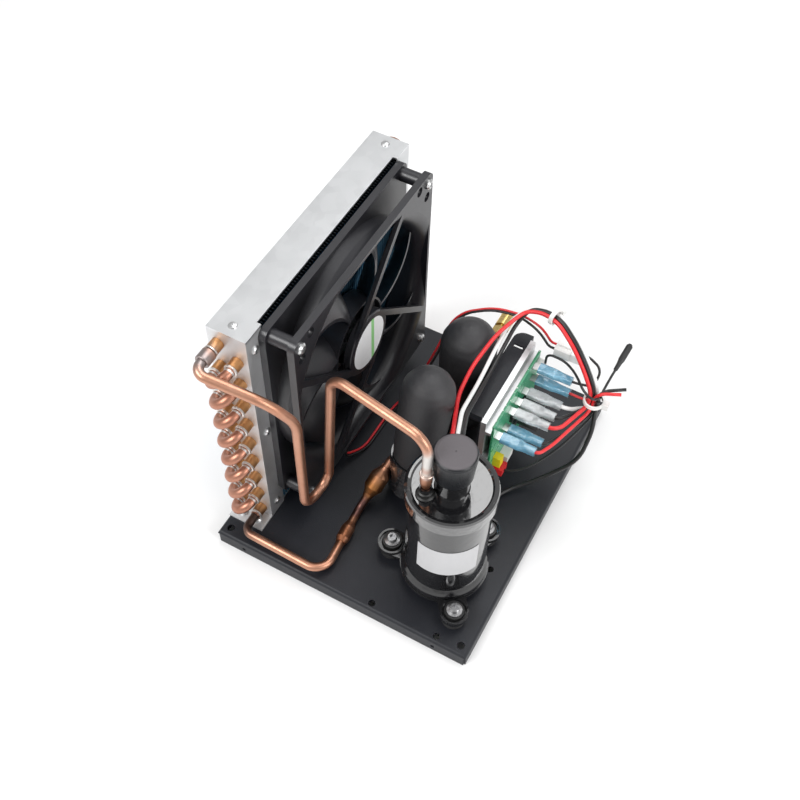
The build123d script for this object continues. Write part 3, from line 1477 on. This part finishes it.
def at_cover(across):
    """The first two points of a motor lead: inside the terminal cap and just outside it."""
    way = Vector(1, 0, 0).rotate(Axis.Z, LEAD_EXIT_ANGLE)
    side = Vector(-way.Y, way.X, 0)
    start = deck(COMP_AT[0], COMP_AT[1], COVER_BOTTOM + 3.0) + side * across
    return [start + way * 8.5, start + way * 24.0]


def white_lead():
    route = at_cover(0) + [deck(136.2, 105.8, 113.0), deck(131.2, 145.3, 98.0), deck(129.4, 174.0, 101.5)]
    route += [deck(129.5, 199.0, 107.0)] + lane(LANE, 0)
    y, z = CLEAR_TERMINALS[0]
    return route + [below_ring(LANE, 0, 65.0), deck(191.0, 174.5, 69.0)] + at_terminal(y, z)


def black_lead():
    route = at_cover(-LANE) + [deck(139.6, 106.0, 112.0), deck(134.8, 145.3, 97.0), deck(133.5, 174.0, 99.0)]
    route += [deck(134.0, 195.0, 107.0)] + lane(0, 0)
    y, z = CLEAR_TERMINALS[1]
    return route + [below_ring(0, 0, 69.0), deck(191.0, 166.0, 70.5)] + at_terminal(y, z)


def red_lead():
    route = at_cover(LANE) + [deck(133.0, 103.0, 109.0), deck(125.6, 122.5, 104.0), deck(122.6, 150.0, 103.0)]
    route += [deck(126.5, 178.0, 109.0), deck(133.0, 193.0, 114.0)] + lane(-LANE, 0)
    y, z = CLEAR_TERMINALS[2]
    return route + [below_ring(-LANE, 0, 72.5), deck(192.0, 154.0, 73.0)] + at_terminal(y, z)


def motor_leads():
    return [white_lead(), black_lead(), red_lead()]


def supply_leads():
    """From the board down to the ring tie, up through it and out to two stripped ends."""
    routes = []
    for across, terminal, level in ((-0.5, 3, 69.0), (0.5, 2, 60.5)):
        ty, tz = BLUE_TERMINALS[terminal]
        ring = below_ring(across * LANE, 2.8, level)
        top = Vector(ring.X, ring.Y, deck(0, 0, SUPPLY_TURN).Z)
        out = Vector(SUPPLY_TAIL * 0.9, SUPPLY_TAIL * 0.35 + 3.0 * across, SUPPLY_TAIL * 0.2)
        route = [top + out, top, ring, deck(192.0, ty + 12.0, (level + tz) / 2)]
        routes.append(route + at_terminal(ty, tz))
    return routes


def fan_leads():
    """From the foot of the fan along the floor, up between the jackets and along the bundle's under side.

    At the bundle's middle they drop into the connector; the board's side of it runs on to two tabs.
    """
    routes = []
    x, y, z = CONNECTOR_AT
    plug_end = CONNECTOR_SIZE[0] / 2 + 0.1
    for k, row in enumerate((CONNECTOR_ROW, -CONNECTOR_ROW)):
        aside = 2.2 * k
        route = [deck(50.0 + aside, 97.0 - aside, FAN_BOTTOM - 0.1), deck(50.0 + aside, 97.0 - aside, 9.0)]
        route += [deck(57.0 + aside, 113.0, 2.2), deck(57.5 + aside, 156.0, 2.2)]
        route += [deck(67.0 + aside, 167.0, 16.0), deck(80.0 + aside, 176.0, 58.0)]
        route += [deck(87.0 + aside, 198.0, 90.0), deck(112.0, 208.0 - aside, 100.0)]
        route += [deck(133.0, 209.0 - aside, 103.0), deck(150.0, y + row, 103.0), deck(159.0, y + row, z)]
        routes.append(route + [deck(x - plug_end, y + row, z)])
    for k, row in enumerate((CONNECTOR_ROW, -CONNECTOR_ROW)):
        ty, tz = BLUE_TERMINALS[k]
        route = [deck(x + plug_end, y + row, z), deck(x + plug_end + 5.0, y + row, z)]
        if k == 0:
            route += [deck(200.0, 199.5, 92.0), deck(199.5, 188.5, 84.5)]
        else:
            route += [deck(196.0, 192.0, 90.0), deck(199.4, 185.8, 83.0), deck(199.4, 185.6, 71.5)]
            route += [deck(192.5, 186.2, 69.8)]
        routes.append(route + at_terminal(ty, tz))
    return routes


def sensor_route():
    """From the board's small connector up through the ring tie to the free probe."""
    x = board_x() + BOARD_THICK + 8.8
    return [
        deck(x, 132.0, 26.0),
        deck(x + 9.0, 134.0, 26.0),
        deck(192.0, 152.0, 44.0),
        deck(204.5, 181.0, 58.0),
        deck(206.1, 187.4, 69.0),
        deck(206.1, 187.6, 82.0),
        deck(207.9, 206.3, 89.0),
    ]


def sensor_probe():
    """A shrink sleeve and a rounded metal bulb at the sensor lead's end."""
    line = sensor_route()
    way = (line[-1] - line[-2]).normalized()
    place = Plane(origin=line[-1], z_dir=way)
    profile = [
        (0, 0.1),
        (THIN_LEAD_R + 0.6, 0.1),
        (THIN_LEAD_R + 0.9, 6.0),
        (PROBE_R, 9.0),
        (PROBE_R, PROBE_LENGTH - 1.5),
        (PROBE_R - 1.0, PROBE_LENGTH),
        (0, PROBE_LENGTH),
    ]
    face = make_face(Plane.XZ * Polyline(*profile, close=True))
    return place * revolve(face, Axis.Z)


def shell_sensor_routes():
    """The sheathed cable from the compressor's back up to the ring tie, and its core to the board."""
    ring_x, ring_y, _ = RING_AT
    across = (ring_x + 3.6, ring_y - 2.6)
    x, y = COMP_AT
    against = y + SHELL_R + CABLE_R + 0.05
    sheath = [
        deck(x, against, 46.0),
        deck(x, against, 22.0),
        deck(x + 1.0, 104.0, 5.0),
        deck(167.0, 131.0, 3.0),
        deck(186.0, 148.0, 9.0),
        deck(208.0, 162.0, 32.0),
        deck(across[0] + 2.5, 175.0, 54.0),
        deck(*across, 68.0),
        deck(*across, 82.0),
    ]
    core = [
        deck(*across, 82.1),
        deck(across[0], across[1] - 0.5, 85.5),
        deck(204.0, 174.5, 88.5),
        deck(196.0, 176.5, 91.0),
        deck(185.0, 188.0, 91.5),
        deck(174.0, 194.8, 91.0),
        deck(160.5, 194.9, 91.0),
        deck(160.5, 194.9, BOARD_HIGH - 5.9),
    ]
    return sheath, core


def ring_tie(centre, way, radius):
    """A nylon tie drawn round a bundle, with its square head on the outside."""
    place = Plane(origin=centre, z_dir=way)
    band = Circle(radius + TIE_THICK) - Circle(radius)
    ring = extrude(band, TIE_WIDTH / 2, both=True)
    head = Pos(radius + TIE_THICK + 1.6, 0, 0) * Box(4.4, 5.0, 5.0)
    return place * (ring + head)


def cable_ties():
    way = (deck(*ARCH[2]) - deck(*ARCH[1])).normalized()
    return [ring_tie(deck(*TIE_AT), way, ARCH_TIE_R), ring_tie(deck(*RING_AT), Vector(0, 0, 1), RING_TIE_R)]


def fan_connector():
    """A nylon multi-way housing: a socket half with its latch, over the plug half's shroud."""
    length, deep, high = CONNECTOR_SIZE
    place = Location(deck(*CONNECTOR_AT))
    low = Align.CENTER
    socket = Pos(-length * 0.2, 0, 0) * Box(length * 0.6, deep, high, align=(low, low, low))
    socket = chamfer(socket.edges().filter_by(Axis.X), 0.8)
    latch = Pos(-length * 0.2, 0, high / 2 + 0.7) * Box(length * 0.5, 3.4, 1.4)
    plug = Pos(length * 0.3 + 0.05, 0, 0) * Box(length * 0.4 - 0.1, deep - 1.6, high - 1.6)
    return [place * (socket + latch), place * plug]


def leads_of(routes, radius):
    for route in routes:
        radii = bend_radii(route, 60.0)
        print("   least bend", round(min(radii), 1), "for a lead of", round(2 * radius, 1))
    return [bent(route, radius, 60.0) for route in routes]


def service_ports():
    suction = port(PORT_X, PORT_START, PORT_Z)
    liquid = port(LIQUID_PORT_X, LIQUID_PORT_START, LIQUID_PORT_Z)
    return [suction, liquid]


def port_caps():
    return [port_cap(PORT_X, PORT_START, PORT_Z), port_cap(LIQUID_PORT_X, LIQUID_PORT_START, LIQUID_PORT_Z)]


def liquid_pipes():
    """The line to the drier, the drier's elbow into the receiver and the receiver's outlet."""
    outlet = bent(liquid_outlet_points(), LINE_R - 0.2, LINE_BEND) - receiver()
    return [liquid_line(), receiver_feed(), outlet]


def build_condenser():
    save("base_plate", [base_plate()])
    save("condenser_tube_sheets", [tube_sheet(), to_rear(tube_sheet())])
    save("condenser_top_plate", [top_plate()])
    save("condenser_bottom_plate", [bottom_plate()])
    save("fin_pack", [fin_pack()])
    save("coil_hairpins", hairpins())
    save("coil_return_bends", return_bends())
    save("coil_sockets", braze_sockets())
    save("condenser_rivets", rivets())
    save("sheet_metal_screws", sheet_metal_screws() + flange_screws())


def build_fan():
    save("fan_frame", [fan_place(fan_frame())])
    save("fan_impeller", [fan_place(fan_impeller())])
    save("fan_magnet_ring", [fan_place(fan_magnet_ring())])
    save("fan_shaft", [fan_place(fan_shaft())])
    save("fan_bearings", [fan_place(ring) for ring in fan_bearings()])
    save("fan_stator", [fan_place(fan_stator())])
    save("fan_circuit_board", [fan_place(fan_circuit_board())])
    save("fan_screws", fan_screws())


def build_compressor():
    save("compressor_shell", [compressor_shell()])
    save("compressor_lid", [compressor_lid()])
    save("compressor_foot_plate", [compressor_foot_plate()])
    save("mounting_grommets", mounting_grommets())
    save("mounting_bolts", mounting_bolts())
    save("discharge_stub", [discharge_stub()])
    save("stub_grommet", [stub_grommet()])
    save("terminal_block", [terminal_block()])
    save("terminal_cover", [terminal_cover()])
    save("motor_stator", [motor_stator()])
    save("motor_rotor", [motor_rotor()])
    save("crankshaft", [crankshaft()])
    save("rolling_piston", [rolling_piston()])
    save("cylinder_block", [cylinder_block()])
    save("vane", [vane()])
    save("vane_spring", [vane_spring()])
    save("pump_bearings", pump_bearings())


def build_pipework():
    save("discharge_line", [discharge_line()])
    save("liquid_line", liquid_pipes())
    save("filter_drier", [filter_drier()])
    save("liquid_receiver", [receiver()])
    save("front_foam_jacket", [front_foam_jacket()])
    save("neck_tape", [neck_tape()])
    save("suction_accumulator", [accumulator()])
    save("suction_line", [bent(suction_points(), LINE_R, LINE_BEND) - accumulator(), port_stem()])
    save("rear_foam_jacket", [rear_foam_jacket()])
    save("service_ports", service_ports())
    save("port_caps", port_caps())
    save("valve_core", [valve_core()])


def build_controller():
    save("controller_bracket", [controller_bracket()])
    save("heat_sink", [heat_sink()])
    tabs = [tab(y, z) for y, z in BLUE_TERMINALS + CLEAR_TERMINALS]
    save("circuit_board", circuit_board() + tabs)
    save("blue_terminals", [terminal_sleeve(y, z) for y, z in BLUE_TERMINALS])
    save("clear_terminals", [terminal_sleeve(y, z) for y, z in CLEAR_TERMINALS])
    save("motor_leads", leads_of(motor_leads(), LEAD_R))
    save("supply_leads", leads_of(supply_leads(), SUPPLY_R))
    save("fan_leads", leads_of(fan_leads(), THIN_LEAD_R))
    save("sensor_lead", leads_of([sensor_route()], THIN_LEAD_R))
    save("sensor_probe", [sensor_probe()])
    sheath, core = shell_sensor_routes()
    save("shell_sensor_cable", leads_of([sheath], CABLE_R) + leads_of([core], THIN_LEAD_R))
    save("cable_ties", cable_ties())
    save("fan_connector", fan_connector())


if __name__ == "__main__":
    build_condenser()
    build_fan()
    build_compressor()
    build_pipework()
    build_controller()
